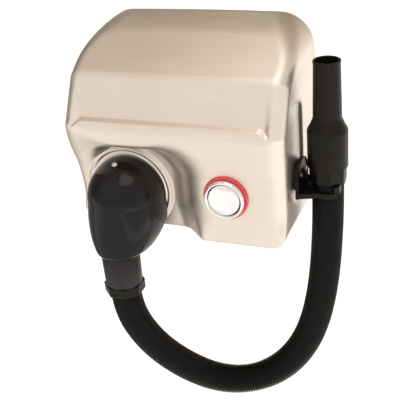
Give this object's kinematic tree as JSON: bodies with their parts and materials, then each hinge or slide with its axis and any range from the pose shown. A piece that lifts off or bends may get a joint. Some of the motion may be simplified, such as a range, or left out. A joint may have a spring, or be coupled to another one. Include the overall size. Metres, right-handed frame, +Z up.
{
  "type": "car dryer blower",
  "caption": "Wall-mounted warm-air blower with a pressed steel cover, push button, outlet hood, ribbed hose and a hand nozzle in a side holder.",
  "frame": {"origin": "on the wall plane, behind the middle of the cover", "axes": "+X to the right seen from the front, +Y into the wall (the front faces -Y), +Z up"},
  "size_m": [0.3341, 0.2072, 0.492],
  "materials": {
    "brushed_steel": "horizontally brushed stainless steel, warm",
    "cast_plate": "die cast, matt",
    "zinc_steel": "zinc plated steel",
    "bright_steel": "ground steel",
    "motor_paint": "satin black enamel",
    "lamination": "stacked laminations",
    "copper": "bare copper and resistance wire",
    "carbon": "pressed carbon",
    "casing_plastic": "glass filled, matt",
    "mica": "sheet mica",
    "black_gloss": "gloss moulding",
    "grey_plastic": "satin dark grey moulding",
    "black_plastic": "fine grained moulding",
    "hose_plastic": "corrugated, satin",
    "rubber": "matt",
    "board_green": "solder mask",
    "part_plastic": "moulded",
    "chrome": "polished",
    "red_plastic": "translucent red moulding"
  },
  "bodies": {
    "root": {"air_hose": "hose_plastic", "board_standoffs": "part_plastic", "brush_holders": "casing_plastic", "button_bezel": "chrome", "button_nut": "part_plastic", "button_ring": "red_plastic", "button_spring": "bright_steel", "cable_grommet": "rubber", "capacitor": "part_plastic", "carbon_brushes": "carbon", "control_board": "board_green", "cover_screws": "zinc_steel", "cover_shell": "brushed_steel", "front_bearing": "bright_steel", "heater_coils": "copper", "heater_duct": "bright_steel", "heater_frame": "mica", "holder_screws": "zinc_steel", "hood_front_shell": "black_gloss", "hood_rear_shell": "grey_plastic", "hood_screw": "zinc_steel", "hood_spigot": "grey_plastic", "hose_holder": "black_plastic", "lower_hose_nut": "black_plastic", "motor_case": "motor_paint", "motor_clamp": "zinc_steel", "motor_end_bell": "motor_paint", "motor_posts": "zinc_steel", "outlet_collar": "cast_plate", "outlet_gasket": "rubber", "outlet_plenum": "casing_plastic", "rear_bearing": "bright_steel", "relay": "part_plastic", "scroll_front_half": "casing_plastic", "scroll_rear_half": "casing_plastic", "stator_ring": "lamination", "switch_body": "part_plastic", "switch_bracket": "zinc_steel", "terminal_block": "part_plastic", "terminal_screws": "zinc_steel", "thermal_cutout": "bright_steel", "transformer": "part_plastic", "vibration_mounts": "rubber", "wall_plate": "cast_plate"},
    "button": {"button_cap": "chrome", "button_stem": "part_plastic"},
    "lever": {"switch_lever": "zinc_steel"},
    "rotor": {"motor_shaft": "bright_steel", "fan_impeller": "casing_plastic", "rotor_core": "lamination", "commutator": "copper", "impeller_collar": "zinc_steel"},
    "nozzle": {"hand_nozzle": "black_plastic", "upper_hose_nut": "black_plastic"}
  },
  "joints": [
    {"name": "button_press", "type": "slide", "parent": "root", "child": "button", "axis": [0, 1, 0], "range_m": [0, 0.004], "stiffness_N_per_m": 500, "deforming": ["button_spring"]},
    {"name": "switch_lever_swing", "type": "hinge", "parent": "root", "child": "lever", "pos_m": [0.0545, -0.1304, -0.063], "axis": [0, 0, 1], "range_deg": [0, 16]},
    {"name": "fan_spin", "type": "hinge", "parent": "root", "child": "rotor", "pos_m": [0.01, -0.06, 0.008], "axis": [0, 1, 0], "continuous": true},
    {"name": "nozzle_lift", "type": "slide", "parent": "root", "child": "nozzle", "axis": [0, 0, 1], "range_m": [0, 0.045]}
  ],
  "couplings": [
    {"joint": "switch_lever_swing", "follows": "button_press", "rad_per_m": 64.52}
  ]
}
